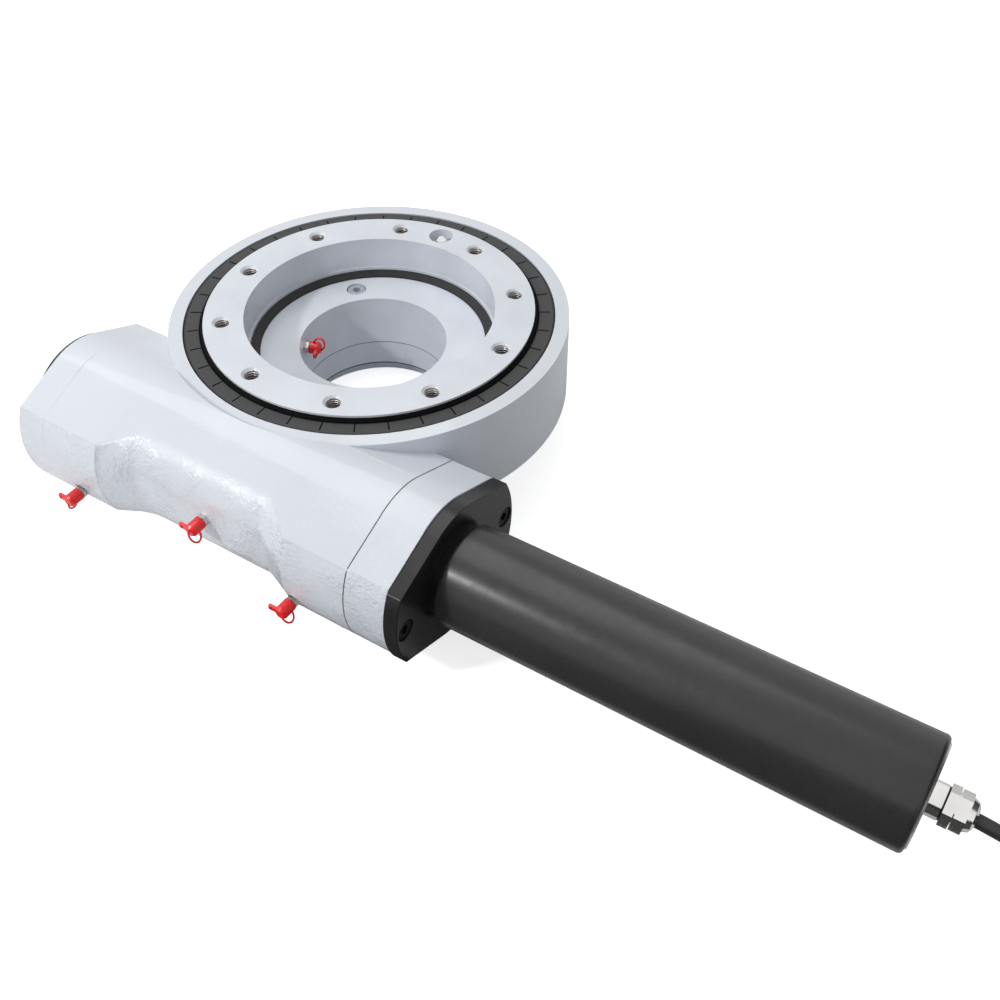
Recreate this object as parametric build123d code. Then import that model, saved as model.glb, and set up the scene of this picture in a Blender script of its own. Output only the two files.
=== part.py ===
import math
import os

from build123d import *

# Enclosed slew drive: a worm turns a wheel ring on a ball race, driven by a tubular gearmotor.
# The origin lies on the ring axis at the base face, +Z is up, and +X runs along the worm to the motor.

# driving dimensions, mm
height = 98.0
ring_proud = 3.3
axis_z = 50.5
module = 4.0
wheel_teeth = 57
worm_quotient = 11.0
pressure_angle = 20.0
flank_play = 0.3
wheel_face = 23.0
thread_length = 80.0

ring_out_r = 114.2
bolt_count = 10
bolt_turn = 5.3
tap_r = 5.1
tap_depth = 20.0

rim_r = 138.0
groove_r = 128.3
chamber_r = 119.5
trough_z = 37.0
drum_z = 28.0
base_r = 100.0
base_bolt_r = 87.5
pilot_r = 57.5
pilot_depth = 9.0

bore_r = 52.0
hub_r = 79.3
hub_foot = 29.4
race_drop = 29.0
ball_r = 6.85
race_r = 7.15
ball_count = 16
seal_band = 7.45

flange_round = 47.5
flange_slope = 22.5
flange_tip = 61.0
ear_low = 76.0
belly_half = 50.0
housing_half = 123.0
tunnel_r = 31.0
cap_thick = 22.4
cover_thick = 4.0
cover_r = 46.0
adapter_thick = 29.0
plate_thick = 9.8
plate_round = 46.3
plate_tip = 62.0
plate_bolt = 53.2

bearing_width = 18.0
journal_r = 17.5
roller_r = 2.45
roller_circle_r = 24.25
roller_count = 14
roller_lean = 14.0

motor_r = 32.8
motor_length = 286.0
motor_wall = 3.0
shaft_r = 11.0
cable_r = 4.0
coil_r = 45.0
fit = 0.05
gap = 0.3

# derived sizes
rim_z = height - ring_proud
axis_y = -module * (wheel_teeth + worm_quotient) / 2
pitch = math.pi * module
worm_r = module * worm_quotient / 2
worm_tip_r = worm_r + module
worm_root_r = worm_r - 1.25 * module
wheel_r = module * wheel_teeth / 2
wheel_tip_r = wheel_r + module
wheel_root_r = wheel_r - 1.25 * module
adapter_x = housing_half + adapter_thick
plate_x = adapter_x + plate_thick
motor_x = plate_x + motor_length
cap_x = -housing_half - cap_thick
hub_top = height - race_drop
seal_z = rim_z - 10.7
ring_lip_r = hub_r + 1.7
ring_bore_r = hub_r + seal_band
ring_step_r = ring_bore_r - 1
ball_circle_r = (hub_r + ring_lip_r) / 2
bolt_r = ring_out_r - 12.6
hub_bolt_r = (bore_r + hub_r) / 2 + 0.95
bearing_x = housing_half - bearing_width - 5
seat_x = bearing_x + bearing_width
half_thread = thread_length / 2
coupling_x = housing_half - 27
seal_x = housing_half + 7
gearbox_x = plate_x + 100.2
can_x = motor_x - 49.8


def turned(points):
    """A solid of revolution about Z from (radius, height) points."""
    outline = Polyline(*[(r, 0, z) for r, z in points], close=True)
    return revolve(make_face(outline), Axis.Z, 360)


def along_worm(shape):
    """A shape modelled about Z, laid on the worm axis with its +Z along +X and its +Y kept."""
    return Pos(0, axis_y, axis_z) * Rot(0, 90, 0) * shape


def lathe(points):
    """A solid of revolution about the worm axis from (radius, x) points."""
    return along_worm(turned(points))


def drum(radius, low, high):
    """A cylinder about the ring axis between two heights."""
    return Pos(0, 0, (low + high) / 2) * Cylinder(radius, high - low)


def rod(radius, low, high):
    """A cylinder about the worm axis between two stations."""
    return along_worm(Pos(0, 0, (low + high) / 2) * Cylinder(radius, high - low))


def places(count, radius, first=0.0):
    """Places evenly spaced on a circle about Z."""
    return [Rot(0, 0, first + i * 360.0 / count) * Pos(radius, 0, 0) for i in range(count)]


def rhombic(round_r, slope, tip_r, low, high):
    """A rhombic two-ear flange about the worm axis between two stations."""
    lean = math.radians(slope)
    side = round_r / math.sin(lean)
    top = round_r / math.cos(lean)
    diamond = make_face(Polyline((side, 0), (0, top), (-side, 0), (0, -top), close=True))
    rounds = diamond.vertices().filter_by(lambda v: abs(v.X) < 1)
    outline = fillet(rounds, round_r) & Circle(tip_r)
    return extrude(Plane(origin=(low, axis_y, axis_z), x_dir=(0, 1, 0), z_dir=(1, 0, 0)) * outline, high - low)


def socket_screw(thread_r, head_r, head_h, length):
    """A socket screw, seat at Z 0, shank down, hexagon socket in its head."""
    head = Pos(0, 0, head_h / 2) * Cylinder(head_r, head_h)
    shank = Pos(0, 0, -length / 2) * Cylinder(thread_r, length)
    socket = Pos(0, 0, head_h * 0.45) * extrude(RegularPolygon(thread_r * 0.8, 6), head_h)
    return head + shank - socket


def nipple(length):
    """A grease nipple along +Z: hexagon, neck and head, its stub below Z 0."""
    body = turned([(0, -5), (3, -5), (3, length), (2, length + 1), (2, length + 3), (0, length + 3)])
    return body + extrude(RegularPolygon(4.6, 6), 3.5)


def grease_cap(length):
    """A push-on cap over a nipple along +Z, with a pull tab on its side."""
    cup = turned([
        (3.3, 4), (4.5, 4), (4.5, length + 5.5), (3.2, length + 7), (0, length + 7), (0, length + 3.3),
        (3.3, length + 3.3)])
    tab = Pos(0, 6.6, length + 5) * Box(3.6, 6, 2) - Pos(0, 7.4, length + 5) * Cylinder(1.1, 4)
    return cup + (tab - Pos(0, 0, length) * Cylinder(3.4, 30))


def involute(angle):
    return math.tan(angle) - angle


def wheel_outline(z):
    """The outline of the wheel's teeth at one height, turned with their lean."""
    start = math.radians(pressure_angle)
    base = wheel_r * math.cos(start)
    half = (pitch / 2 - flank_play) / 2 / wheel_r + involute(start)
    root = half - involute(math.acos(base / wheel_root_r))
    tip = half - involute(math.acos(base / wheel_tip_r))
    turn = (z - axis_z) / worm_quotient / wheel_r
    corners = [(wheel_root_r, -root), (wheel_tip_r, -tip), (wheel_tip_r, tip), (wheel_root_r, root)]
    points = []
    for tooth in range(wheel_teeth):
        middle = -math.pi / 2 + (tooth + 0.5) * 2 * math.pi / wheel_teeth + turn
        points += [(r * math.cos(middle + a), r * math.sin(middle + a), z) for r, a in corners]
    return make_face(Polyline(*points, close=True))


def worm_thread():
    """The threaded length about Z: one right-hand thread that crosses +Y at Z 0."""
    lean = math.tan(math.radians(pressure_angle))
    half = (pitch / 2 - flank_play) / 2
    root = half + (worm_r - worm_root_r) * lean
    tip = half - (worm_tip_r - worm_r) * lean
    first = -thread_length / 2 * 360 / pitch + 90

    def at(radius, reach):
        angle = math.radians(first + reach * 360 / pitch)
        return (radius * math.cos(angle), radius * math.sin(angle), -thread_length / 2)

    flank = [(worm_root_r, root), (worm_r, half), (worm_tip_r, tip)]
    points = [at(r, -reach) for r, reach in flank] + [at(worm_tip_r, 0)]
    points += [at(r, reach) for r, reach in reversed(flank)]
    points += [at(worm_root_r, root + (pitch - 2 * root) * i / 5) for i in range(1, 5)]
    section = make_face(Polyline(*points, close=True))
    spine = Line((0, 0, -thread_length / 2), (0, 0, thread_length / 2))
    guide = Pos(0, 0, -thread_length / 2) * Helix(pitch, thread_length, worm_r)
    return sweep(section, path=spine, binormal=guide)


# ---- housing casting
body = drum(rim_r, drum_z, rim_z)
body = chamfer(body.edges().group_by(Axis.Z)[0], 5)
body += drum(base_r, 0, drum_z + 1)
ridge = rhombic(flange_round, flange_slope, flange_tip, -housing_half, housing_half)
ridge -= Pos(0, axis_y - 60, 0) * Box(2 * belly_half, 120, 300)
for side in (-1, 1):
    wedge = Polyline(
        (side * belly_half, axis_y, 0), (side * belly_half, -250, 0), (side * ear_low, -250, 0), close=True)
    ridge -= extrude(make_face(wedge), 120)
body += ridge
body += rod(flange_round, -housing_half, housing_half)
body += Pos(0, axis_y / 2 - 20, drum_z + 20) * Box(2 * belly_half, 120, 40)
body &= Pos(0, 0, height / 2) * Box(400, 500, height)
body -= drum(rim_r + 0.01, rim_z, height + 1)
body -= drum(groove_r, seal_z, height + 1)
body -= drum(chamber_r, trough_z, height)
body -= drum(hub_r + fit, hub_foot, height)
body -= drum(bore_r, -1, height)
body -= drum(pilot_r, -1, pilot_depth)
body -= rod(tunnel_r, -housing_half - 1, housing_half + 1)
for place in places(10, base_bolt_r, 18):
    body -= place * Pos(0, 0, 10) * Cylinder(tap_r, 24)
for place in places(8, hub_bolt_r, 22.5):
    body -= place * Pos(0, 0, 9) * Cylinder(7.25, 20)
    body -= place * Pos(0, 0, 20) * Cylinder(4.3, 30)
ear_bolts = [Rot(0, 0, 45 + 90 * i) * Pos(39.5, 0, 0) for i in range(4)]
for place in ear_bolts:
    for end in (-1, 1):
        body -= along_worm(place * Pos(0, 0, end * (housing_half - 9)) * Cylinder(4 + fit, 20))
nipple_drop = 20.0
ear_seat = -math.sqrt(flange_tip**2 - nipple_drop**2)
front_nipples = [(80.0, ear_seat, -nipple_drop), (3.0, -flange_round, 0.0), (-100.0, ear_seat, -nipple_drop)]
front_places = [Pos(x, axis_y + y + 0.3, axis_z + z) * Rot(90, 0, 0) for x, y, z in front_nipples]
for place in front_places:
    body -= place * Pos(0, 0, 10) * Cylinder(6, 20)
    body -= place * Pos(0, 0, -12) * Cylinder(3 + fit, 30)

# ---- output ring with its wheel
ring = turned([
    (ring_lip_r, trough_z + 2), (wheel_root_r - 1, trough_z + 2),
    (wheel_root_r - 1, seal_z - 4), (ring_out_r, seal_z - 4),
    (ring_out_r, height), (ring_bore_r, height), (ring_bore_r, hub_top + 5),
    (ring_step_r, hub_top + 5), (ring_step_r, hub_top - 5), (ring_lip_r, hub_top - 5)])
wheel = loft([wheel_outline(axis_z - wheel_face / 2), wheel_outline(axis_z + wheel_face / 2)], ruled=True)
wheel -= drum(wheel_root_r - 6, 0, 200)
ring += wheel
groove = Pos(0, 0, axis_z) * Torus(ball_circle_r, race_r)
ring -= groove
for place in places(bolt_count, bolt_r, bolt_turn):
    ring -= place * Pos(0, 0, height - tap_depth / 2) * Cylinder(tap_r, tap_depth)
    ring -= place * Pos(0, 0, height) * Cone(tap_r, tap_r + 1.4, 1.4, align=(Align.CENTER, Align.CENTER, Align.MAX))
recess = Rot(0, 0, 95.3) * Pos(bolt_r, 0, height - 8)
ring -= recess * Pos(0, 0, 6) * Cylinder(9, 12)
ring -= recess * Cylinder(3 + fit, 14)

# ---- inner race
hub = turned([(bore_r, hub_foot), (hub_r, hub_foot), (hub_r, hub_top), (bore_r, hub_top)]) - groove
plug_place = Rot(0, 0, 137.5) * Pos(hub_bolt_r, 0, axis_z) * Rot(0, 90, 0)
race_plug = hub & (plug_place * Cylinder(8.5, 60))
hub -= plug_place * Cylinder(8.5 + fit, 60)
lock_place = Rot(0, 0, 137.5) * Pos(hub_bolt_r, 0, hub_top - 8.8)
hub -= lock_place * Pos(0, 0, 10) * Cylinder(7.25, 20)
hub -= lock_place * Cylinder(4 + fit, 30)
race_plug -= lock_place * Cylinder(4 + fit, 30)
for place in places(8, hub_bolt_r, 22.5):
    hub -= place * Pos(0, 0, hub_foot) * Cylinder(4 + fit, 24)
bore_nipple_place = Rot(0, 0, -158.5) * Pos(bore_r, 0, hub_top - 12) * Rot(0, -90, 0)
hub -= bore_nipple_place * Pos(0, 0, -6) * Cylinder(3 + fit, 16)
hub -= bore_nipple_place * Pos(0, 0, 5) * Cylinder(6, 10)

# ---- seals of the ring
seal_r = ring_step_r - gap
seal_inner = turned([
    (hub_r + 0.01, hub_top - 4), (seal_r, hub_top - 4), (seal_r, hub_top + 3), (hub_r + 1.2, hub_top + 0.8),
    (hub_r + 0.01, hub_top + 0.8)])
lip_r = ring_out_r + gap
face_r = ring_out_r + 2.1
seal_outer = turned([
    (lip_r, seal_z + 3), (face_r, seal_z + 0.6), (groove_r - 0.01, seal_z + 0.6), (groove_r - 0.01, rim_z - 1.5),
    (groove_r - 1, rim_z - 0.5), (face_r + 0.9, rim_z - 0.5), (face_r, rim_z - 1.5), (face_r, rim_z - 4.7),
    (lip_r, seal_z + 5.4)])

# ---- ball train
balls = Compound([place * Pos(0, 0, axis_z) * Sphere(ball_r) for place in places(ball_count, ball_circle_r)])
spacer = Pos(0, 0, axis_z) * Torus(ball_circle_r, 4.5)
wedge_half = 180.0 / ball_count - math.degrees(ball_r / ball_circle_r) - 0.4
wedge_y = 120 * math.tan(math.radians(wedge_half))
spacer_cell = extrude(make_face(Polyline((0, 0, 0), (120, -wedge_y, 0), (120, wedge_y, 0), close=True)), 100)
one_spacer = spacer & spacer_cell
spacers = Compound([Rot(0, 0, (i + 0.5) * 360 / ball_count) * one_spacer for i in range(ball_count)])

# ---- worm shaft
worm = along_worm(worm_thread())
worm += lathe([
    (0, half_thread), (worm_root_r, half_thread), (worm_root_r, bearing_x - 30), (21, bearing_x - 26), (21, bearing_x),
    (journal_r, bearing_x), (journal_r, seat_x), (15, seat_x), (15, adapter_x - 11), (0, adapter_x - 11)])
worm += lathe([
    (0, -half_thread), (worm_root_r, -half_thread), (worm_root_r, 30 - bearing_x), (21, 26 - bearing_x),
    (21, -bearing_x), (journal_r, -bearing_x), (journal_r, -seat_x), (16, -seat_x),
    (16, -seat_x - 13), (0, -seat_x - 13)])
worm -= rod(shaft_r + fit, coupling_x, adapter_x)
key_place = Pos(housing_half - 3, axis_y, axis_z + shaft_r - 0.5)
worm -= key_place * Box(44, 6 + 2 * fit, 6)
motor_shaft = rod(shaft_r, coupling_x + 2, plate_x + 20) - key_place * Box(30 + 2 * fit, 6 + 2 * fit, 6 + 2 * fit)
shaft_key = key_place * Box(30, 6, 5.6)
worm_nut = lathe([
    (16 + fit, -seat_x - 11), (21.5, -seat_x - 11), (21.5, -seat_x - 0.3), (16 + fit, -seat_x - 0.3)])
for i in range(4):
    worm_nut -= along_worm(Rot(0, 0, 90 * i) * Pos(21.5, 0, -seat_x - 5.5) * Box(5, 5, 12))


def bearing(side):
    """The inner ring, rollers, cage and outer ring of one tapered roller bearing."""
    lean = math.radians(roller_lean)
    near = side * bearing_x
    far = side * (bearing_x + bearing_width)
    middle = side * (bearing_x + bearing_width / 2)
    run = 6.6
    slope = math.tan(lean)
    reach = (roller_r + gap) / math.cos(lean)

    def track(offset, distance):
        return (roller_circle_r + offset - slope * distance, middle + side * distance)

    inner = lathe([(journal_r + fit, near), (track(-reach, -9)[0], near), track(-reach, 9), (journal_r + fit, far)])
    outer = lathe([(tunnel_r, near + side * 1.5), track(reach, -7.5), track(reach, 9), (tunnel_r, far)])
    rollers = []
    slots = []
    for i in range(roller_count):
        place = Rot(0, 0, i * 360 / roller_count) * Pos(roller_circle_r, 0, middle) * Rot(0, -side * roller_lean, 0)
        rollers.append(along_worm(place * Cylinder(roller_r, 2 * run)))
        slots.append(along_worm(place * Box(12, 2 * roller_r + 0.8, 2 * run + 0.8)))
    cage = lathe([track(-0.9, -8.6), track(0.9, -8.6), track(0.9, 8.6), track(-0.9, 8.6)]) - slots
    return inner, Compound(rollers), cage, outer


cone_right, rollers_right, cage_right, cup_right = bearing(1)
cone_left, rollers_left, cage_left, cup_left = bearing(-1)

# ---- end cap and its cover
end_cap = rhombic(flange_round, flange_slope, flange_tip, cap_x, -housing_half)
end_cap += lathe([(24, -housing_half - 1), (tunnel_r - fit, -housing_half - 1), (tunnel_r - fit, -seat_x),
                  (24, -seat_x)])
end_cap -= rod(24, -seat_x - 19, -seat_x + 1)
cover_x = cap_x - cover_thick
cover = lathe([(0, cover_x), (cover_r - 1, cover_x), (cover_r, cover_x + 1), (cover_r, cap_x), (0, cap_x)])
cap_screws = []
for place in ear_bolts:
    seat = Rot(0, 180, 0)
    cap_screws.append(along_worm(place * Pos(0, 0, cap_x + 9) * seat * socket_screw(4, 6.5, 8, 25)))
    end_cap -= along_worm(place * Pos(0, 0, cap_x + 4) * Cylinder(7, 10))
    end_cap -= along_worm(place * Pos(0, 0, cap_x + 15) * Cylinder(4.4, 30))

# ---- motor adapter and plate
adapter = rhombic(flange_round, flange_slope, flange_tip, housing_half, adapter_x)
adapter += lathe([(24, seat_x), (tunnel_r - fit, seat_x), (tunnel_r - fit, housing_half + 1), (24, housing_half + 1)])
adapter -= rod(24, seat_x - 1, seal_x - 2)
adapter -= rod(18, seat_x, adapter_x + 1)
adapter -= rod(22, seal_x, adapter_x + 1)
adapter -= rod(25, adapter_x - 6, adapter_x + 1)
shaft_seal = lathe([
    (15 + gap, seal_x), (22 - 0.01, seal_x), (22 - 0.01, seal_x + 8), (17.5, seal_x + 8), (17.5, seal_x + 4),
    (15 + gap, seal_x + 4)])
adapter_screws = []
for place in ear_bolts:
    adapter_screws.append(along_worm(place * Pos(0, 0, adapter_x - 9) * socket_screw(4, 6.5, 8, 34)))
    adapter -= along_worm(place * Pos(0, 0, adapter_x - 4) * Cylinder(7, 10))
    adapter -= along_worm(place * Pos(0, 0, adapter_x - 15) * Cylinder(4.4, 30))
plate = rhombic(plate_round, 21.7, plate_tip, adapter_x, plate_x)
plate += rod(25 - fit, adapter_x - 5.7, adapter_x)
plate -= rod(14, adapter_x - 8, plate_x + 1)
plate_screws = []
for side in (-1, 1):
    spot = Pos(0, side * plate_bolt, 0)
    plate -= along_worm(spot * Pos(0, 0, plate_x) * Cylinder(7, 11))
    plate -= along_worm(spot * Pos(0, 0, plate_x) * Cylinder(4.4, 40))
    adapter -= along_worm(spot * Pos(0, 0, adapter_x - 6) * Cylinder(4 + fit, 24))
    plate_screws.append(along_worm(spot * Pos(0, 0, plate_x - 5.5) * socket_screw(4, 6.5, 4.5, 16)))

# ---- gearmotor
neck_x = plate_x + 4
tube_end = motor_x
inner_r = motor_r - motor_wall
gearbox = lathe([(14, plate_x), (29, plate_x), (29, neck_x), (inner_r - 0.01, neck_x), (inner_r - 0.01, gearbox_x), (0, gearbox_x),
                 (0, plate_x + 21), (14, plate_x + 21)])
tube = lathe([(inner_r, neck_x), (motor_r, neck_x), (motor_r, tube_end), (inner_r, tube_end)])
tube = fillet(tube.edges().filter_by(lambda e: e.radius > motor_r - 0.1 if e.geom_type == GeomType.CIRCLE else False), 2.9)
motor_can = rod(inner_r - 2.8, gearbox_x, can_x)
drive_board = rod(inner_r - 3.8, can_x + 10, can_x + 13) + rod(5, can_x, can_x + 10)
motor_end = lathe([(0, tube_end - 8), (inner_r - 0.01, tube_end - 8), (inner_r - 0.01, tube_end), (inner_r - 1, tube_end + 1), (0, tube_end + 1)])
gland_x = tube_end + 1
motor_end -= rod(6 + fit, tube_end - 9, gland_x + 1)
gland_base = rod(6, tube_end - 8, gland_x) + rod(9.75, gland_x, gland_x + 7)
gland_base += along_worm(Pos(0, 0, gland_x + 8) * extrude(RegularPolygon(11.5, 6), 5)) + rod(8, gland_x + 6, gland_x + 9)
gland_base -= rod(cable_r + 0.02, tube_end - 20, tube_end + 40)
gland_seal = lathe([(8, gland_x + 7), (9.2, gland_x + 7), (9.2, gland_x + 8), (8, gland_x + 8)])
nut_x = gland_x + 13.6
gland_nut = along_worm(Pos(0, 0, nut_x) * extrude(RegularPolygon(11.2, 6), 6))
gland_nut += lathe([(0, nut_x + 6), (9.4, nut_x + 6), (8.2, nut_x + 9), (5.4, nut_x + 10.5), (0, nut_x + 10.5)])
gland_nut += rod(8.6, gland_x + 13, nut_x)
gland_nut -= rod(cable_r + 0.02, tube_end - 20, tube_end + 40)

# ---- cable, its coil and plug
rest_z = cable_r + 0.1
route = [
    (gland_x - 6, axis_y, axis_z), (gland_x + 66, axis_y, axis_z), (gland_x + 136, axis_y, rest_z),
    (gland_x + 186, axis_y + 4, rest_z)]


def bend_radii(points):
    """The bend at each inner point, the largest that its two runs have room for."""
    radii = []
    for a, b, c in zip(points, points[1:], points[2:]):
        u = Vector(*b) - Vector(*a)
        v = Vector(*c) - Vector(*b)
        turn = math.radians(u.get_angle(v))
        radii.append(0.45 * min(u.length, v.length) / math.tan(turn / 2))
    return radii


radii = bend_radii(route)
print("bend radii", [round(r, 1) for r in radii])
run = FilletPolyline(*route, radius=radii)
start = Plane(origin=route[0], z_dir=(1, 0, 0))
cable = sweep(start * Circle(cable_r), path=run)
print("cable volume", round(cable.volume), "section by length", round(math.pi * cable_r**2 * run.length))
heading = (Vector(*route[-1]) - Vector(*route[-2])).normalized()
aside = Vector(-heading.Y, heading.X, 0)
coil_centre = Vector(*route[-1]) + heading * 6 + aside * coil_r
coil_height = 3 * 2 * cable_r
cable_coil = Pos(coil_centre.X, coil_centre.Y, 0.1 + coil_height / 2) * (
    Cylinder(coil_r + cable_r, coil_height) - Cylinder(coil_r - cable_r, coil_height))
cable_coil -= sweep(start * Circle(cable_r + fit), path=run)
coil_leave = Vector(coil_centre.X, coil_centre.Y, 0.1 + coil_height - cable_r) + heading * coil_r
plug_drop = Vector(0, 0, coil_leave.Z - 10.3)
tail_route = [coil_leave, coil_leave + aside * 36, coil_leave + aside * 76 - plug_drop, coil_leave + aside * 106 - plug_drop]
tail_run = FilletPolyline(*tail_route, radius=bend_radii(tail_route))
cable_tail = sweep(Plane(origin=tail_route[0], z_dir=aside) * Circle(cable_r), path=tail_run)
cable_coil -= sweep(Plane(origin=tail_route[0], z_dir=aside) * Circle(cable_r + fit), path=tail_run)
plug_way = Plane(origin=tail_route[-1], z_dir=tail_route[-1] - tail_route[-2])
cable_plug = plug_way * (Pos(0, 0, 3) * Cylinder(6.5, 14) + Pos(0, 0, 22) * Cylinder(8.5, 24) - Pos(0, 0, 31) * Cylinder(6.5, 8))
cable_plug -= sweep(Plane(origin=tail_route[0], z_dir=aside) * Circle(cable_r + 0.02), path=tail_run)
plug_nut = plug_way * Pos(0, 0, 24) * (Cylinder(9.8, 12) - Cylinder(8.5 + fit, 13))

# ---- grease nipples and their caps
nipples = Compound([place * nipple(7) for place in front_places])
nipple_caps = Compound([place * Rot(0, 0, 90) * grease_cap(7) for place in front_places])
bore_nipple = bore_nipple_place * nipple(5)
bore_cap = bore_nipple_place * grease_cap(5)
ring_nipple = recess * turned([(0, -6), (3, -6), (3, 2), (4, 3), (4, 5), (2.2, 6.5), (0, 6.5)])

nodes = {
    "housing_casting": body,
    "output_ring": ring,
    "inner_race": hub,
    "race_plug": race_plug,
    "lock_screw": lock_place * socket_screw(4, 6.5, 8, 14),
    "hub_screws": Compound([place * Pos(0, 0, 19) * Rot(180, 0, 0) * socket_screw(4, 6.5, 8, 20) for place in places(8, hub_bolt_r, 22.5)]),
    "seal_inner": seal_inner,
    "seal_outer": seal_outer,
    "race_balls": balls,
    "race_spacers": spacers,
    "worm_shaft": worm,
    "worm_nut": worm_nut,
    "motor_shaft": motor_shaft,
    "shaft_key": shaft_key,
    "cone_left": cone_left,
    "cone_right": cone_right,
    "rollers_left": rollers_left,
    "rollers_right": rollers_right,
    "cage_left": cage_left,
    "cage_right": cage_right,
    "cup_left": cup_left,
    "cup_right": cup_right,
    "end_cap": end_cap,
    "cover_disc": cover,
    "cap_screws": Compound(cap_screws),
    "motor_adapter": adapter,
    "adapter_screws": Compound(adapter_screws),
    "shaft_seal": shaft_seal,
    "motor_plate": plate,
    "plate_screws": Compound(plate_screws),
    "gearbox": gearbox,
    "motor_tube": tube,
    "motor_can": motor_can,
    "drive_board": drive_board,
    "motor_end": motor_end,
    "gland_base": gland_base,
    "gland_seal": gland_seal,
    "gland_nut": gland_nut,
    "cable": cable,
    "cable_coil": cable_coil,
    "cable_tail": cable_tail,
    "cable_plug": cable_plug,
    "plug_nut": plug_nut,
    "front_nipples": nipples,
    "front_caps": nipple_caps,
    "bore_nipple": bore_nipple,
    "bore_cap": bore_cap,
    "ring_nipple": ring_nipple,
}

os.makedirs("parts", exist_ok=True)
for name, shape in nodes.items():
    box = shape.bounding_box()
    print(name, len(shape.solids()), round(shape.volume), shape.is_valid,
          [round(v, 1) for v in (*box.min, *box.max)])
    export_step(shape, f"parts/{name}.step")
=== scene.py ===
import math
import bmesh
import bpy
from mathutils import Matrix, Vector


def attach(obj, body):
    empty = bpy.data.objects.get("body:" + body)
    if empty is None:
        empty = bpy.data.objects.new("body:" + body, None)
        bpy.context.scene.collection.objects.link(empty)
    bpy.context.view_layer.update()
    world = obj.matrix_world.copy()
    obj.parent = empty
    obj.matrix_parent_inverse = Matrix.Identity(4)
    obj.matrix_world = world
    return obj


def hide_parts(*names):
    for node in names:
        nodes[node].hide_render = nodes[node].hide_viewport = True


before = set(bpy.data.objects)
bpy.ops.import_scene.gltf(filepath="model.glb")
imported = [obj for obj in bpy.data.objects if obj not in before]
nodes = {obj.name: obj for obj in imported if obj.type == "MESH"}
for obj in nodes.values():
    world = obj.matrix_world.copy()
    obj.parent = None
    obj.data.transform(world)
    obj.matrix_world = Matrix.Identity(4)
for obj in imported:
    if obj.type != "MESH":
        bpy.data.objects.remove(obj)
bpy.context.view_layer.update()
scene = bpy.context.scene
scene.view_settings.view_transform = "Standard"
mm = 0.001

# camera

view = {"place": (0.435407, -0.518518, 0.578804), "heading": 0.5664, "height": 0.7840, "roll": -0.0056,
        "lens": 42.41, "sensor": 36, "near": 0.01}

def linked(name, data):
    thing = bpy.data.objects.new(name, data)
    scene.collection.objects.link(thing)
    return thing

def makeCamera():
    heading, height, roll = view["heading"], view["height"], view["roll"]
    level = math.cos(height)
    back = Vector((math.sin(heading) * level, -math.cos(heading) * level, math.sin(height)))
    right = (-back).cross(Vector((0, 0, 1))).normalized()
    up = right.cross(-back)
    across = math.cos(roll) * right + math.sin(roll) * up
    upright = math.cos(roll) * up - math.sin(roll) * right
    camera = linked("camera", bpy.data.cameras.new("camera"))
    camera.data.sensor_width = view["sensor"]
    camera.data.lens = view["lens"]
    camera.data.clip_start = view["near"]
    turned = Matrix((across, upright, back)).transposed().to_4x4()
    camera.matrix_world = Matrix.Translation(view["place"]) @ turned
    scene.camera = camera

makeCamera()
print("camera set")

# materials

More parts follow.
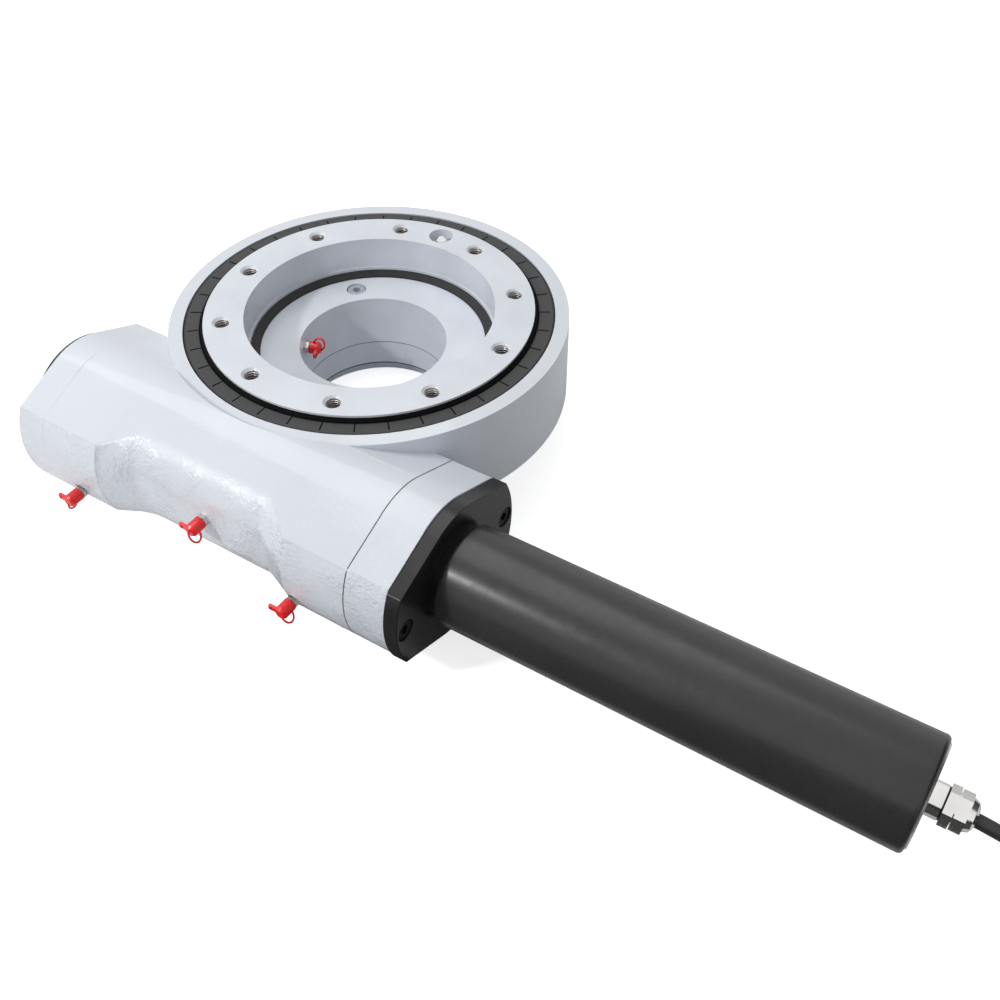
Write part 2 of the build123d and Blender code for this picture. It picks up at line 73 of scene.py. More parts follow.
finishes = {  # grain per metre, bump height in metres; metal 0, gloss 0.5 and coat 0 unless given
    "ringPaint": {"colour": (0.675, 0.71, 0.765), "tone": 0.05, "rough": (0.3, 0.42),
                  "grain": 260, "bump": 0.00002, "coat": 0.25},
    "steel": {"colour": (0.5, 0.49, 0.47), "tone": 0.12, "rough": (0.25, 0.4),
              "grain": 900, "bump": 0.00001, "metal": 1},
    "threadMetal": {"colour": (0.46, 0.445, 0.43), "tone": 0.25, "rough": (0.3, 0.5),
                    "grain": 1500, "bump": 0.00002, "metal": 1},
    "groundSteel": {"colour": (0.62, 0.62, 0.62), "tone": 0.05, "rough": (0.08, 0.18),
                    "grain": 600, "bump": 0.000004, "metal": 1},
    # Black oxide screws, made darker and with little specular as painted shade so the plate screws read as dark
    # holes.
    "blackOxideAndHoleShade": {"colour": (0.008, 0.008, 0.009), "tone": 0.2, "rough": (0.4, 0.55),
                   "grain": 1200, "bump": 0.000004, "gloss": 0.15},
    "innerSeal": {"colour": (0.022, 0.0225, 0.023), "tone": 0.2, "rough": (0.38, 0.52),
                  "grain": 700, "bump": 0.00002, "gloss": 0.25},
    "nylon": {"colour": (0.7, 0.66, 0.55), "tone": 0.06, "rough": (0.4, 0.5),
              "grain": 500, "bump": 0.00001},
    "coverBlack": {"colour": (0.028, 0.028, 0.03), "tone": 0.2, "rough": (0.3, 0.45),
                   "grain": 500, "bump": 0.00002},
    # The plate's own black; it is also put on the gearbox as painted shade where the motor neck lies in shadow.
    "plateBlackAndNeckShade": {"colour": (0.013, 0.013, 0.0135), "tone": 0.15, "rough": (0.2, 0.28),
                   "grain": 120, "bump": 0.000003, "gloss": 0.3},
    "motorBlack": {"colour": (0.03, 0.03, 0.031), "tone": 0.12, "rough": (0.24, 0.34),
                   "grain": 160, "bump": 0.00001, "gloss": 0.4},
    "boardGreen": {"colour": (0.03, 0.2, 0.07), "tone": 0.15, "rough": (0.3, 0.4),
                   "grain": 900, "bump": 0.00002},
    "endMetal": {"colour": (0.72, 0.72, 0.73), "tone": 0.06, "rough": (0.25, 0.36),
                 "grain": 1500, "bump": 0.00001, "metal": 1},
    "nickel": {"colour": (0.78, 0.77, 0.75), "tone": 0.04, "rough": (0.06, 0.14),
               "grain": 700, "bump": 0.000006, "metal": 1},
    "zinc": {"colour": (0.6, 0.6, 0.57), "tone": 0.12, "rough": (0.22, 0.36),
             "grain": 900, "bump": 0.00001, "metal": 1},
    "screwZinc": {"colour": (0.52, 0.55, 0.6), "tone": 0.12, "rough": (0.25, 0.4),
                  "grain": 900, "bump": 0.00001, "metal": 0.5},
    "sheath": {"colour": (0.026, 0.026, 0.028), "tone": 0.2, "rough": (0.42, 0.55),
               "grain": 900, "bump": 0.00003},
    "plugBlack": {"colour": (0.025, 0.025, 0.026), "tone": 0.2, "rough": (0.42, 0.55),
                  "grain": 800, "bump": 0.00004},
    "capRed": {"colour": (0.82, 0.004, 0.006), "tone": 0.06, "rough": (0.2, 0.32),
               "grain": 500, "bump": 0.00002, "coat": 0.3},
    "grooveBlack": {"colour": (0.003, 0.003, 0.003), "tone": 0.3, "rough": (0.7, 0.9),
                    "grain": 700, "bump": 0.00001, "gloss": 0.1},
    "seamDark": {"colour": (0.06, 0.062, 0.066), "tone": 0.3, "rough": (0.6, 0.8),
                 "grain": 700, "bump": 0.00002},
}

class Shader:
    def __init__(self, name):
        self.material = bpy.data.materials.new(name)
        self.material.use_nodes = True
        self.tree = self.material.node_tree
        self.tree.nodes.clear()
        self.surface = self.add("ShaderNodeBsdfPrincipled")
        self.link(self.surface, "BSDF", self.add("ShaderNodeOutputMaterial"), "Surface")
        self.place = self.add("ShaderNodeTexCoord")

    def add(self, kind, **settings):
        node = self.tree.nodes.new(kind)
        for key, value in settings.items():
            if key in node.inputs.keys():
                node.inputs[key].default_value = value
            else:
                setattr(node, key, value)
        return node

    def link(self, fromNode, output, toNode, socket):
        self.tree.links.new(fromNode.outputs[output], toNode.inputs[socket])

    def feed(self, value, socket):
        self.tree.links.new(value, self.surface.inputs[socket])

    def noise(self, scale, detail=3.0, roughness=0.55):
        node = self.add("ShaderNodeTexNoise", Scale=scale, Detail=detail, Roughness=roughness)
        self.link(self.place, "Object", node, "Vector")
        return node

    def math(self, operation, first, second):
        node = self.add("ShaderNodeMath", operation=operation)
        for i, value in enumerate((first, second)):
            if isinstance(value, (int, float)):
                node.inputs[i].default_value = value
            else:
                self.tree.links.new(value, node.inputs[i])
        return node.outputs[0]

    def span(self, value, low, high, toLow=0.0, toHigh=1.0):
        node = self.add("ShaderNodeMapRange")
        self.tree.links.new(value, node.inputs["Value"])
        for key, number in (("From Min", low), ("From Max", high), ("To Min", toLow), ("To Max", toHigh)):
            node.inputs[key].default_value = number
        return node.outputs["Result"]

    def tones(self, value, stops):
        ramp = self.add("ShaderNodeValToRGB")
        self.tree.links.new(value, ramp.inputs["Fac"])
        while len(ramp.color_ramp.elements) < len(stops):
            ramp.color_ramp.elements.new(0.5)
        for element, (position, colour) in zip(ramp.color_ramp.elements, stops):
            element.position = position
            element.color = (*colour, 1)
        return ramp.outputs["Color"]

    def bump(self, height, distance):
        node = self.add("ShaderNodeBump", Distance=distance, Strength=1.0)
        self.tree.links.new(height, node.inputs["Height"])
        self.link(node, "Normal", self.surface, "Normal")
        self.link(node, "Normal", self.surface, "Coat Normal")

def toned(colour, factor):
    return tuple(min(1.0, c * factor) for c in colour)

speckle = {"clouds": 0.12, "cloudDetail": 2.0, "low": 0.3, "high": 0.7, "coatRough": 0.12}

def plainFinish(name):
    values = finishes[name]
    low, high = speckle["low"], speckle["high"]
    shader = Shader(name)
    cloudy = shader.noise(values["grain"] * speckle["clouds"], speckle["cloudDetail"])
    shader.feed(shader.tones(cloudy.outputs["Fac"], [
        (low, toned(values["colour"], 1 - values["tone"])),
        (high, toned(values["colour"], 1 + values["tone"]))]), "Base Color")
    grain = shader.noise(values["grain"])
    shader.feed(shader.span(grain.outputs["Fac"], low, high, *values["rough"]), "Roughness")
    shader.bump(grain.outputs["Fac"], values["bump"])
    shader.surface.inputs["Metallic"].default_value = values.get("metal", 0)
    shader.surface.inputs["Specular IOR Level"].default_value = values.get("gloss", 0.5)
    shader.surface.inputs["Coat Weight"].default_value = values.get("coat", 0)
    shader.surface.inputs["Coat Roughness"].default_value = speckle["coatRough"]
    return shader.material

castPaint = {"colour": (0.665, 0.705, 0.765), "dark": 0.96, "light": 1.03, "clouds": 14, "cloudDetail": 3.0,
             "flat": 0.97, "side": 0.6, "backY": -0.125, "frontY": -0.15, "backShare": 0.3,
             "patches": 22, "patchDetail": 2.0, "patchEdge": (0.42, 0.58), "patchShare": 0.25,
             "peel": 330, "peelDetail": 4.0, "peelRough": 0.6, "wrinkle": 520, "wrinkleShare": 0.35,
             "relief": 0.0013, "flatRough": 0.34, "castRough": 0.16, "coat": 0.5, "coatRough": 0.04}

def castFinish():
    shader = Shader("castPaint")
    cloudy = shader.noise(castPaint["clouds"], castPaint["cloudDetail"])
    shader.feed(shader.tones(cloudy.outputs["Fac"], [
        (speckle["low"], toned(castPaint["colour"], castPaint["dark"])),
        (speckle["high"], toned(castPaint["colour"], castPaint["light"]))]), "Base Color")
    parts = shader.add("ShaderNodeSeparateXYZ")
    shader.link(shader.place, "Normal", parts, "Vector")
    spot = shader.add("ShaderNodeSeparateXYZ")
    shader.link(shader.place, "Object", spot, "Vector")
    sides = shader.span(parts.outputs["Z"], castPaint["flat"], castPaint["side"])  # flat tops are machined
    front = shader.span(spot.outputs["Y"], castPaint["backY"], castPaint["frontY"], castPaint["backShare"], 1.0)
    blots = shader.noise(castPaint["patches"], castPaint["patchDetail"])
    patch = shader.span(blots.outputs["Fac"], *castPaint["patchEdge"], castPaint["patchShare"], 1.0)
    cast = shader.math("MULTIPLY", shader.math("MULTIPLY", sides, front), patch)
    peel = shader.noise(castPaint["peel"], castPaint["peelDetail"], castPaint["peelRough"])
    wrinkle = shader.add("ShaderNodeTexVoronoi", Scale=castPaint["wrinkle"], feature="SMOOTH_F1")
    shader.link(shader.place, "Object", wrinkle, "Vector")
    folds = shader.math("MULTIPLY", wrinkle.outputs["Distance"], castPaint["wrinkleShare"])
    relief = shader.math("ADD", peel.outputs["Fac"], folds)
    shader.bump(shader.math("MULTIPLY", relief, cast), castPaint["relief"])
    shader.feed(shader.span(cast, 0, 1, castPaint["flatRough"], castPaint["castRough"]), "Roughness")
    shader.surface.inputs["Coat Weight"].default_value = castPaint["coat"]
    shader.surface.inputs["Coat Roughness"].default_value = castPaint["coatRough"]
    return shader.material

# The dark edge bands of the seal are painted shade of the gaps beside the ring and the casting.
sealRing = {"inner": 0.1145, "outer": 0.1283, "grey": (0.034, 0.035, 0.036), "dark": (0.003, 0.003, 0.003),
            "grain": 500, "rough": (0.4, 0.52), "bump": 0.00003, "gloss": 0.3}

def sealFinish():
    shader = Shader("outerSeal")
    flat = shader.add("ShaderNodeVectorMath", operation="MULTIPLY")
    shader.link(shader.place, "Object", flat, 0)
    flat.inputs[1].default_value = (1, 1, 0)
    length = shader.add("ShaderNodeVectorMath", operation="LENGTH")
    shader.link(flat, "Vector", length, 0)
    grey, dark = sealRing["grey"], sealRing["dark"]
    across = shader.span(length.outputs["Value"], sealRing["inner"], sealRing["outer"])
    # dark bands at both edges: painted shade in the gaps; the grey between is the seal's own colour
    bandsWithGapShade = [(0.0, dark), (0.22, dark), (0.25, grey), (0.86, toned(grey, 1.15)), (0.89, dark),
             (0.95, toned(grey, 0.5))]
    shader.feed(shader.tones(across, bandsWithGapShade), "Base Color")
    grain = shader.noise(sealRing["grain"])
    rough = shader.span(grain.outputs["Fac"], speckle["low"], speckle["high"], *sealRing["rough"])
    shader.feed(rough, "Roughness")
    shader.bump(grain.outputs["Fac"], sealRing["bump"])
    shader.surface.inputs["Specular IOR Level"].default_value = sealRing["gloss"]
    return shader.material

materials = {name: plainFinish(name) for name in finishes}
materials["castPaint"] = castFinish()
materials["outerSeal"] = sealFinish()

worn = {
    "ringPaint": ["output_ring", "inner_race", "race_plug"],
    "castPaint": ["housing_casting", "end_cap", "motor_adapter"],
    "steel": ["worm_shaft", "worm_nut", "motor_shaft", "shaft_key", "cage_left", "cage_right", "motor_can"],
    "groundSteel": ["race_balls", "cone_left", "cone_right", "rollers_left", "rollers_right",
                    "cup_left", "cup_right"],
    # the screws' black is partly their oxide finish and partly painted shade that hides the plate screws in
    # their dark holes
    "blackOxideAndHoleShade": ["hub_screws", "cap_screws", "adapter_screws", "plate_screws"],
    "innerSeal": ["seal_inner", "shaft_seal", "gland_seal"],
    "outerSeal": ["seal_outer"], "nylon": ["race_spacers"], "coverBlack": ["cover_disc"],
    # the gearbox gets the plate's black as painted shade of the shadowed motor neck
    "plateBlackAndNeckShade": ["motor_plate", "gearbox"], "motorBlack": ["motor_tube"], "boardGreen": ["drive_board"],
    "endMetal": ["motor_end"], "screwZinc": ["lock_screw"],
    "nickel": ["gland_base", "gland_nut", "plug_nut", "ring_nipple"],
    "zinc": ["front_nipples", "bore_nipple"], "sheath": ["cable", "cable_coil", "cable_tail"],
    "plugBlack": ["cable_plug"], "capRed": ["front_caps", "bore_cap"],
}
for finish, names in worn.items():
    for name in names:
        nodes[name].data.materials.clear()
        nodes[name].data.materials.append(materials[finish])
print("finishes put on", len(nodes), "parts")

def evaluated(holder):
    bpy.context.view_layer.update()
    return bpy.data.meshes.new_from_object(holder.evaluated_get(bpy.context.evaluated_depsgraph_get()))

def addPiece(name, mesh, finish, body):
    piece = linked(name, mesh)
    if finish:
        mesh.materials.clear()
        mesh.materials.append(materials[finish])
    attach(piece, body)
    return piece

# cable, from the gland to its plug

axisY, axisZ = -136 * mm, 50.5 * mm
cable = {"diameter": 0.008, "coilRadius": 0.045, "turns": 2.25, "perTurn": 16, "exitX": 0.4705, "length": 0.95,
         "lead": 0.006, "layers": 2.0, "plugZ": 0.0103, "tail": (0.036, 0.076, 0.106)}
cableRoute = [(0.4428, axisY, axisZ), (0.5148, axisY, axisZ), (0.5848, axisY, 0.0041),
              (0.6348, axisY + 0.004, 0.0041)]

def makeCable():
    heading = (Vector(cableRoute[-1]) - Vector(cableRoute[-2])).normalized()
    aside = Vector((-heading.y, heading.x, 0))
    centre = Vector(cableRoute[-1]) + heading * cable["lead"] + aside * cable["coilRadius"]
    points = [Vector(p) for p in cableRoute]
    reach = cable["coilRadius"] / math.cos(math.pi / cable["perTurn"]) ** 0.5
    steps = round(cable["turns"] * cable["perTurn"])
    for i in range(1, steps):
        angle = 2 * math.pi * i / cable["perTurn"]
        rise = Vector((0, 0, min(i / cable["perTurn"], cable["layers"]) * cable["diameter"]))
        points.append(centre + reach * (heading * math.sin(angle) - aside * math.cos(angle)) + rise)
    top = Vector((0, 0, cable["layers"] * cable["diameter"]))
    leave = centre + heading * cable["coilRadius"] + top
    drop = Vector((0, 0, leave.z - cable["plugZ"]))
    near, low, far = cable["tail"]
    points += [leave, leave + aside * near, leave + aside * low - drop, leave + aside * far - drop]
    curve = bpy.data.curves.new("cableLine", "CURVE")
    curve.dimensions = "3D"
    spline = curve.splines.new("NURBS")
    spline.points.add(len(points) - 1)
    for target, point in zip(spline.points, points):
        target.co = (*point, 1)
    spline.order_u = 3
    spline.use_endpoint_u = True
    spline.resolution_u = 8
    curve.bevel_depth = cable["diameter"] / 2
    curve.bevel_resolution = 5
    curve.use_fill_caps = True
    piece = linked("cableLine", curve)
    curve.materials.append(materials["sheath"])
    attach(piece, "housing")
    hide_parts("cable", "cable_coil", "cable_tail")

makeCable()
print("cable laid")

# node trees for what repeats

class Maker:
    def __init__(self, name, inputs):
        self.tree = bpy.data.node_groups.new(name, "GeometryNodeTree")
        self.tree.interface.new_socket(name="Geometry", in_out="OUTPUT", socket_type="NodeSocketGeometry")
        for label, kind in inputs.items():
            self.tree.interface.new_socket(name=label, in_out="INPUT", socket_type="NodeSocket" + kind)
        self.given = self.tree.nodes.new("NodeGroupInput")
        self.end = self.tree.nodes.new("NodeGroupOutput")

    def add(self, kind, links=None, **settings):
        node = self.tree.nodes.new(kind)
        for key, value in settings.items():
            setattr(node, key, value)
        for socket, source in (links or {}).items():
            if isinstance(source, (int, float, tuple)):
                node.inputs[socket].default_value = source
            else:
                self.tree.links.new(source, node.inputs[socket])
        return node

    def math(self, operation, first, second):
        return self.add("ShaderNodeMath", {0: first, 1: second}, operation=operation).outputs[0]

    def finish(self, geometry):
        solid = self.add("GeometryNodeRealizeInstances", {"Geometry": geometry})
        painted = self.add("GeometryNodeSetMaterial", {
            "Geometry": solid.outputs[0], "Material": self.given.outputs["Material"]})
        self.tree.links.new(painted.outputs[0], self.end.inputs[0])

def grow(maker, name, values, body):
    holder = linked(name, bpy.data.meshes.new(name))
    modifier = holder.modifiers.new("grow", "NODES")
    modifier.node_group = maker.tree
    for item in maker.tree.interface.items_tree:
        if item.in_out == "INPUT":
            modifier[item.identifier] = values[item.name]
    mesh = evaluated(holder)
    bpy.data.objects.remove(holder)
    return addPiece(name, mesh, None, body)

def around(maker, instance, turnEach=True):
    given = maker.given.outputs
    ring = maker.add("GeometryNodeMeshCircle", {"Vertices": given["Count"], "Radius": given["Circle"]})
    index = maker.add("GeometryNodeInputIndex").outputs[0]
    angle = maker.math("DIVIDE", maker.math("MULTIPLY", index, 2 * math.pi), given["Count"])
    turn = maker.add("ShaderNodeCombineXYZ", {"Z": angle})
    copies = maker.add("GeometryNodeInstanceOnPoints", {
        "Points": ring.outputs[0], "Instance": instance, "Rotation": turn.outputs[0]})
    lift = maker.add("ShaderNodeCombineXYZ", {"Z": given["Low"]})
    spin = maker.add("ShaderNodeCombineXYZ", {"Z": given["Turn"]})
    return maker.add("GeometryNodeTransform", {
        "Geometry": copies.outputs[0], "Translation": lift.outputs[0], "Rotation": spin.outputs[0]}).outputs[0]

places = {"Count": "Int", "Circle": "Float", "Turn": "Float", "Low": "Float", "Material": "Material"}

def threadMaker():
    maker = Maker("threadedHoles", {**places, "Radius": "Float", "Pitch": "Float", "Depth": "Float"})
    given = maker.given.outputs
    turns = maker.math("DIVIDE", given["Depth"], given["Pitch"])
    helix = maker.add("GeometryNodeCurveSpiral", {
        "Resolution": 28, "Rotations": turns, "Start Radius": given["Radius"], "End Radius": given["Radius"],
        "Height": given["Depth"]})
    edge = maker.add("GeometryNodeCurvePrimitiveCircle", {
        "Resolution": 3, "Radius": maker.math("MULTIPLY", given["Pitch"], 0.42)})
    ridge = maker.add("GeometryNodeCurveToMesh", {"Curve": helix.outputs[0], "Profile Curve": edge.outputs[0]})
    wall = maker.add("GeometryNodeMeshCylinder", {
        "Vertices": 40, "Radius": given["Radius"], "Depth": given["Depth"]}, fill_type="NONE")
    half = maker.add("ShaderNodeCombineXYZ", {"Z": maker.math("MULTIPLY", given["Depth"], 0.5)})
    inside = maker.add("GeometryNodeFlipFaces", {"Mesh": wall.outputs[0]})
    raised = maker.add("GeometryNodeTransform", {"Geometry": inside.outputs[0], "Translation": half.outputs[0]})
    both = maker.add("GeometryNodeJoinGeometry")
    maker.tree.links.new(ridge.outputs[0], both.inputs[0])
    maker.tree.links.new(raised.outputs[0], both.inputs[0])
    maker.finish(around(maker, both.outputs[0]))
    return maker

threads = {
    "ringThreads": {"Count": 10, "Circle": 0.1016, "Turn": math.radians(5.3), "Low": 0.0782,
                    "Radius": 0.00508, "Pitch": 0.00175, "Depth": 0.0182, "body": "ring"},
    "baseThreads": {"Count": 10, "Circle": 0.0875, "Turn": math.radians(18), "Low": 0.0011,
                    "Radius": 0.00508, "Pitch": 0.00175, "Depth": 0.0212, "body": "housing"},
}
threadTree = threadMaker()
for name, values in threads.items():
    body = values.pop("body")
    grow(threadTree, name, {**values, "Material": materials["threadMetal"]}, body)
print("threads cut in", sum(values["Count"] for values in threads.values()), "holes")

def barMaker():
    maker = Maker("barsAround", {**places, "Size": "Vector"})
    bar = maker.add("GeometryNodeMeshCube", {"Size": maker.given.outputs["Size"]})
    maker.finish(around(maker, bar.outputs[0]))
    return maker

bars = {
    "sealMarks": {"Count": 36, "Circle": 0.1212, "Turn": math.radians(2), "Low": 0.0942,
                  "Size": (0.0076, 0.0009, 0.0003), "Material": materials["grooveBlack"],
                  "body": "housing", "slot": "seal"},
}
barTree = barMaker()
for name, values in bars.items():
    body, slot = values.pop("body"), values.pop("slot")
    grow(barTree, name, values, body)
print("seal marked")

# meshes built ring by ring

def circle(radius, z, count):
    angles = [2 * math.pi * i / count for i in range(count)]
    return [(radius * math.cos(angle), radius * math.sin(angle), z) for angle in angles]

def joinRings(shell, first, second):
    for i in range(len(first)):
        j = (i + 1) % len(first)
        shell.faces.new((first[i], first[j], second[j], second[i]))

def shellMesh(name, shell, outward=True):
    if outward:
        bmesh.ops.recalc_face_normals(shell, faces=shell.faces)
    mesh = bpy.data.meshes.new(name)
    shell.to_mesh(mesh)
    shell.free()
    return mesh

# the belly between the two ears, swept along the worm

belly = {"half": 0.050, "earStart": 0.076, "front": 0.0475, "corner": 0.027, "earRadius": 0.061, "round": 0.0475,
         "slope": math.radians(22.5), "steps": 10, "stages": 6, "inner": 0.039, "cutInner": 0.041,
         "seam": (-0.0135, 0.041), "flankY": -0.0192, "earLow": 0.05, "overlap": 0.0002,
         "cutPast": 0.002, "cutY": -0.02, "cutReach": 0.09}

def bellyCurve():  # rounded corner between the sloped top and the front
    slope, corner, steps = belly["slope"], belly["corner"], belly["steps"]
    tipZ = (belly["round"] - belly["front"] * math.sin(slope)) / math.cos(slope)
    middleY, middleZ = corner - belly["front"], tipZ - corner * math.tan((math.pi / 2 - slope) / 2)
    angles = [math.pi / 2 + slope + (math.pi / 2 - slope) * i / steps for i in range(steps + 1)]
    return [(middleY + corner * math.cos(angle), middleZ + corner * math.sin(angle)) for angle in angles]

def earCurve():  # from the ear's edge down its round front
    start = math.pi / 2 + belly["slope"] + math.acos(belly["round"] / belly["earRadius"])
    low = math.pi - belly["earLow"]
    angles = [start + (low - start) * i / belly["steps"] for i in range(belly["steps"] + 1)]
    return [(belly["earRadius"] * math.cos(angle), belly["earRadius"] * math.sin(angle)) for angle in angles]

def bellySection(x, share):
    flankY, slope = belly["flankY"], belly["slope"]
    upper = [belly["seam"], (flankY, (belly["round"] + flankY * math.sin(slope)) / math.cos(slope))]
    for near, far in zip(bellyCurve(), earCurve()):
        upper.append(tuple(a + (b - a) * share for a, b in zip(near, far)))
    lower = [(y, -z) for y, z in reversed(upper)]
    inner = innerArc(belly["inner"], belly["seam"][0])
    return [(x, axisY + y, axisZ + z) for y, z in upper + lower + inner]

def innerArc(radius, startY, count=12):
    start = math.acos(startY / radius)
    angles = [-start + 2 * (start - math.pi) * i / count for i in range(count + 1)]
    return [(radius * math.cos(angle), radius * math.sin(angle)) for angle in angles]

def bellyMesh():
    end = belly["earStart"] + belly["overlap"]
    shares = [i / belly["stages"] for i in range(belly["stages"] + 1)]
    right = [(belly["half"] + (end - belly["half"]) * share, share) for share in shares]
    stations = [(-x, share) for x, share in reversed(right)] + right
    shell = bmesh.new()
    rings = [[shell.verts.new(p) for p in bellySection(x, share)] for x, share in stations]
    for first, second in zip(rings, rings[1:]):
        joinRings(shell, first, second)
    shell.faces.new(rings[0])
    shell.faces.new(rings[-1])
    return shellMesh("belly", shell)

def earCutter():
    near, reach = belly["cutY"], belly["cutReach"]
    outline = [(near, reach), (-reach, reach), (-reach, -reach), (near, -reach)]
    outline += innerArc(belly["cutInner"], near)
    shell = bmesh.new()
    for side in (-1, 1):
        rings = [[shell.verts.new((side * x, axisY + y, axisZ + z)) for y, z in outline]
                 for x in (belly["half"] - belly["cutPast"], belly["earStart"])]
        joinRings(shell, *rings)
        shell.faces.new(rings[0])
        shell.faces.new(rings[1])
    return shellMesh("earCutter", shell)

# softened edges on the flanges

edges = {"motor_plate": 0.0005, "motor_adapter": 0.0006, "end_cap": 0.0012, "housing_casting": 0.0012}
edgeWork = {"merge": 2e-6, "flat": math.radians(0.6), "corner": math.radians(24), "segments": 3,
            "sharp": math.radians(50)}

def settled(holder):
    mesh = evaluated(holder)
    holder.modifiers.clear()
    holder.data = mesh
    return mesh

def carved(holder, operation, tool):
    other = linked(operation, tool)
    cut = holder.modifiers.new(operation, "BOOLEAN")
    cut.operation = operation
    cut.solver = "EXACT"
    cut.object = other
    settled(holder)
    bpy.data.objects.remove(other)

def softened(name, width):
    mesh = nodes[name].data.copy()
    shell = bmesh.new()
    shell.from_mesh(mesh)
    bmesh.ops.remove_doubles(shell, verts=shell.verts, dist=edgeWork["merge"])
    bmesh.ops.dissolve_limit(shell, angle_limit=edgeWork["flat"], verts=shell.verts, edges=shell.edges)
    shell.to_mesh(mesh)
    shell.free()
    mesh.shade_smooth()
    holder = linked(name + "Soft", mesh)
    bevel = holder.modifiers.new("edge", "BEVEL")
    bevel.width = width
    bevel.segments = edgeWork["segments"]
    bevel.limit_method = "ANGLE"
    bevel.angle_limit = edgeWork["corner"]
    settled(holder)
    if name == "housing_casting":
        carved(holder, "DIFFERENCE", earCutter())
        carved(holder, "UNION", bellyMesh())
    holder.data.shade_smooth()
    holder.data.set_sharp_from_angle(angle=edgeWork["sharp"])
    weigh = holder.modifiers.new("weigh", "WEIGHTED_NORMAL")
    weigh.keep_sharp = True
    final = settled(holder)
    bpy.data.objects.remove(holder)
    finish, slot = ("plateBlackAndNeckShade", "black_plate") if name == "motor_plate" else ("castPaint", "paint")
    piece = addPiece(name + "Edged", final, finish, "housing")
    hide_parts(name)
    print("softened", name, len(final.polygons), "faces")

for name, width in edges.items():
    softened(name, width)

# dark joint lines round the flange and in the bore, and the seal's lip

joints = {"adapterJoint": {"x": 0.123, "width": 0.0006, "proud": 0.00012}}

def flangePoints(proud, count=160):
    top, slope, tip = belly["round"] + proud, belly["slope"], belly["earRadius"] + proud
    points = []
    for i in range(count):
        angle = 2 * math.pi * i / count
        y, z = math.cos(angle), math.sin(angle)
        reach = top
        if abs(z) < math.cos(slope):
            reach = top / (abs(y) * math.sin(slope) + abs(z) * math.cos(slope))
        reach = min(reach, tip)
        points.append((y * reach, z * reach))
    return points

def jointBand(name, values):
    outline = flangePoints(values["proud"])
    shell = bmesh.new()
    rings = [[shell.verts.new((x, axisY + y, axisZ + z)) for y, z in outline]
             for x in (values["x"] - values["width"] / 2, values["x"] + values["width"] / 2)]
    joinRings(shell, *rings)
    addPiece(name, shellMesh(name, shell), "seamDark", "housing")

for name, values in joints.items():
    jointBand(name, values)

boreLines = {"raceJoint": {"low": 0.0291, "high": 0.0296}, "boreFoot": {"low": 0.0091, "high": 0.0101}}
boreRadius = 0.05194

def boreLine(name, values, count=96):
    shell = bmesh.new()
    low, high = [[shell.verts.new(p) for p in circle(boreRadius, values[end], count)] for end in ("low", "high")]
    joinRings(shell, high, low)  # so that the faces look into the bore
    addPiece(name, shellMesh(name, shell, outward=False), "seamDark", "housing")

for name, values in boreLines.items():
    boreLine(name, values)

lip = {"inner": 0.1143, "outer": 0.1163, "low": 0.0925, "step": 0.0943, "high": 0.0965, "top": 0.0004}

def sealLip(count=160):
    outline = [(lip["inner"], lip["low"]), (lip["outer"], lip["low"]), (lip["outer"], lip["step"]),
               (lip["inner"] + lip["top"], lip["high"]), (lip["inner"], lip["high"])]
    shell = bmesh.new()
    rings = [[shell.verts.new(p) for p in circle(radius, z, count)] for radius, z in outline]
    for first, second in zip(rings, rings[1:] + rings[:1]):
        joinRings(shell, first, second)
    addPiece("sealLip", shellMesh("sealLip", shell), "grooveBlack", "housing")

sealLip()

# loops of the grease caps

loop = {"radius": 0.0042, "thick": 0.0007, "lift": 0.0035, "stretch": 1.35, "points": 12}
capSpots = {
    "loopRight": ((0.080, -0.2033, 0.0305), (0, -1, 0), (0.6, 0, -0.8)),
    "loopMiddle": ((0.003, -0.1952, 0.0505), (0, -1, 0), (0.5, 0, -0.85)),
    "loopLeft": ((-0.100, -0.2033, 0.0305), (0, -1, 0), (-0.2, 0, -1)),
    "loopBore": ((-0.0385, -0.0152, 0.057), (0.93, 0.366, 0), (0.1, 0.1, 1)),
}

def capLoop(name, spot, outward, lean):
    outward, lean = Vector(outward), Vector(lean).normalized()
    centre = Vector(spot) + lean * loop["lift"]
    curve = bpy.data.curves.new(name, "CURVE")
    curve.dimensions = "3D"
    spline = curve.splines.new("NURBS")
    spline.points.add(loop["points"] - 1)
    for i, target in enumerate(spline.points):
        angle = 2 * math.pi * i / loop["points"]
        along = loop["stretch"] * lean * math.cos(angle)
        target.co = (*(centre + loop["radius"] * (along + outward * math.sin(angle))), 1)
    spline.order_u = 4
    spline.use_cyclic_u = True
    spline.resolution_u = 4
    curve.bevel_depth = loop["thick"]
    curve.bevel_resolution = 3
    holder = linked(name, curve)
    mesh = evaluated(holder)
    bpy.data.objects.remove(holder)
    addPiece(name, mesh, "capRed", "housing")

for name, spot in capSpots.items():
    capLoop(name, *spot)
print("caps looped")

# floor, world and lamps

room = {"floor": 0.82, "lift": 0.72, "world": 0.42, "reach": 6, "floorRough": 0.9, "card": 0.02}
lamps = {  # place, aim, size, watts
    "above": ((-0.6, 0.3, 1.7), (0.05, -0.05, 0), 1.4, 12.2),
    "left": ((-1.3, -1.0, 0.9), (0.0, -0.1, 0.05), 1.0, 3),
    "strip": ((-0.55, -1.2, 1.0), (0.0, -0.16, 0.07), 0.12, 9),
}

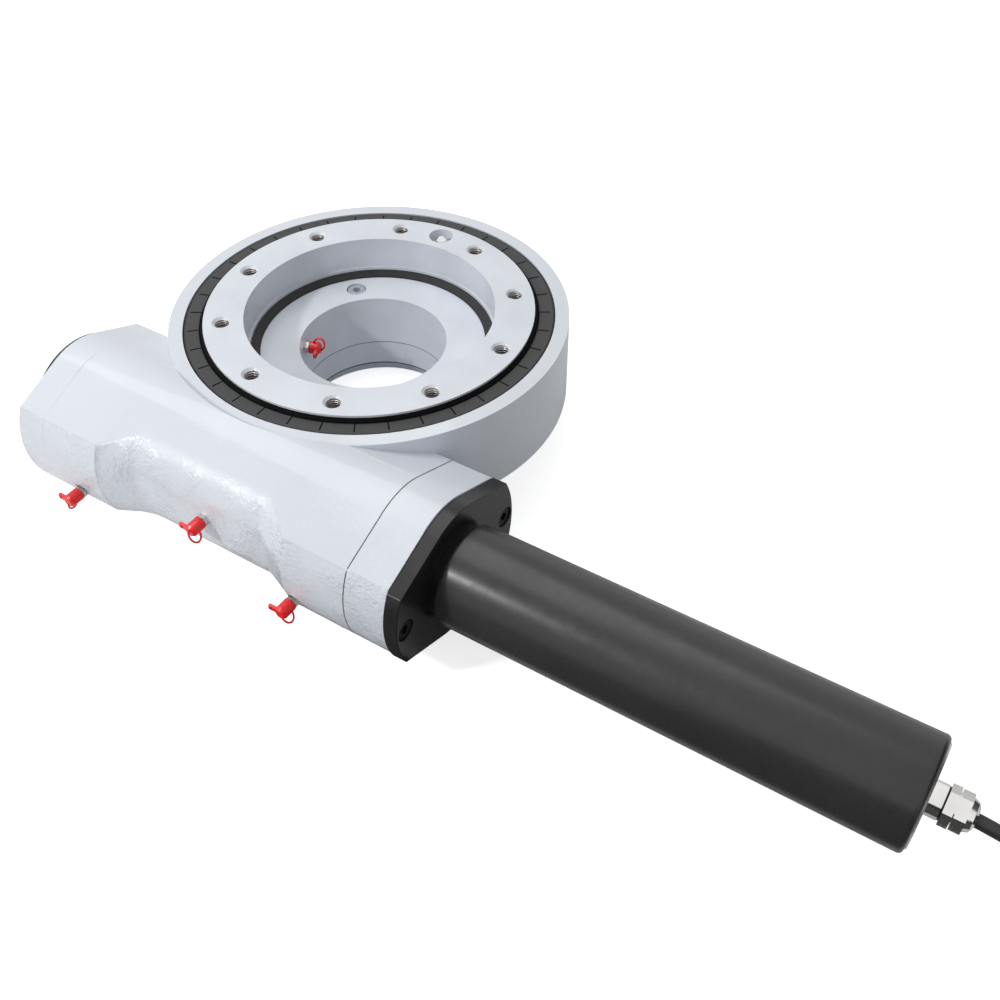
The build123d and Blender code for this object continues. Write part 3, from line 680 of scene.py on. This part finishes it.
def makeWorld():
    world = bpy.data.worlds.new("world")
    scene.world = world
    world.use_nodes = True
    tree = world.node_tree
    background = tree.nodes["Background"]
    rays = tree.nodes.new("ShaderNodeLightPath")
    strength = tree.nodes.new("ShaderNodeMapRange")
    seen = tree.nodes.new("ShaderNodeMath")
    seen.operation = "MAXIMUM"
    tree.links.new(rays.outputs["Is Camera Ray"], seen.inputs[0])
    tree.links.new(rays.outputs["Is Glossy Ray"], seen.inputs[1])
    tree.links.new(seen.outputs[0], strength.inputs["Value"])
    strength.inputs["To Min"].default_value = room["world"]
    strength.inputs["To Max"].default_value = 1
    tree.links.new(strength.outputs["Result"], background.inputs["Strength"])
    background.inputs["Color"].default_value = (1, 1, 1, 1)

def makeFloor():
    reach = room["reach"]
    mesh = bpy.data.meshes.new("floor")
    corners = [(-reach, -reach, 0), (reach, -reach, 0), (reach, reach, 0), (-reach, reach, 0)]
    mesh.from_pydata(corners, [], [(0, 1, 2, 3)])
    floor = linked("floor", mesh)
    material = bpy.data.materials.new("floor")
    material.use_nodes = True
    tree = material.node_tree
    shader = tree.nodes["Principled BSDF"]
    shader.inputs["Base Color"].default_value = (room["floor"], room["floor"], room["floor"], 1)
    shader.inputs["Roughness"].default_value = room["floorRough"]
    shader.inputs["Specular IOR Level"].default_value = 0
    rays = tree.nodes.new("ShaderNodeLightPath")
    lift = tree.nodes.new("ShaderNodeMath")
    lift.operation = "MULTIPLY"
    tree.links.new(rays.outputs["Is Camera Ray"], lift.inputs[0])
    lift.inputs[1].default_value = room["lift"]
    shader.inputs["Emission Color"].default_value = (1, 1, 1, 1)
    tree.links.new(lift.outputs[0], shader.inputs["Emission Strength"])
    mesh.materials.append(material)

def hangLamp(name, place, aim, size, watts):
    light = bpy.data.lights.new(name, "AREA")
    light.size = size
    light.energy = watts
    lamp = linked(name, light)
    lamp.location = place
    lamp.rotation_euler = (Vector(aim) - Vector(place)).to_track_quat("-Z", "Y").to_euler()

cards = {  # dark panels that only reflections see
    "rightCard": [(0.75, 1.1, 0.0), (1.2, -0.35, 0.0), (1.2, -0.35, 0.7), (0.75, 1.1, 0.7)],
    "floorCard": [(0.0, -0.8, 0.0015), (1.0, -0.8, 0.0015), (1.0, -0.175, 0.0015), (0.0, -0.175, 0.0015)],
    "lowCard": [(0.2, -0.9, 0.0), (1.1, -0.75, 0.0), (1.1, -0.75, 0.28), (0.2, -0.9, 0.28)],
}

def darkCard(name, corners):
    mesh = bpy.data.meshes.new(name)
    mesh.from_pydata(corners, [], [(0, 1, 2, 3)])
    card = linked(name, mesh)
    material = bpy.data.materials.new(name)
    material.use_nodes = True
    shader = material.node_tree.nodes["Principled BSDF"]
    shader.inputs["Base Color"].default_value = (room["card"], room["card"], room["card"], 1)
    mesh.materials.append(material)
    card.visible_camera = False
    card.visible_shadow = False
    card.visible_diffuse = False

makeWorld()
makeFloor()
for name, lamp in lamps.items():
    hangLamp(name, *lamp)
for name, corners in cards.items():
    darkCard(name, corners)
print("room lit")
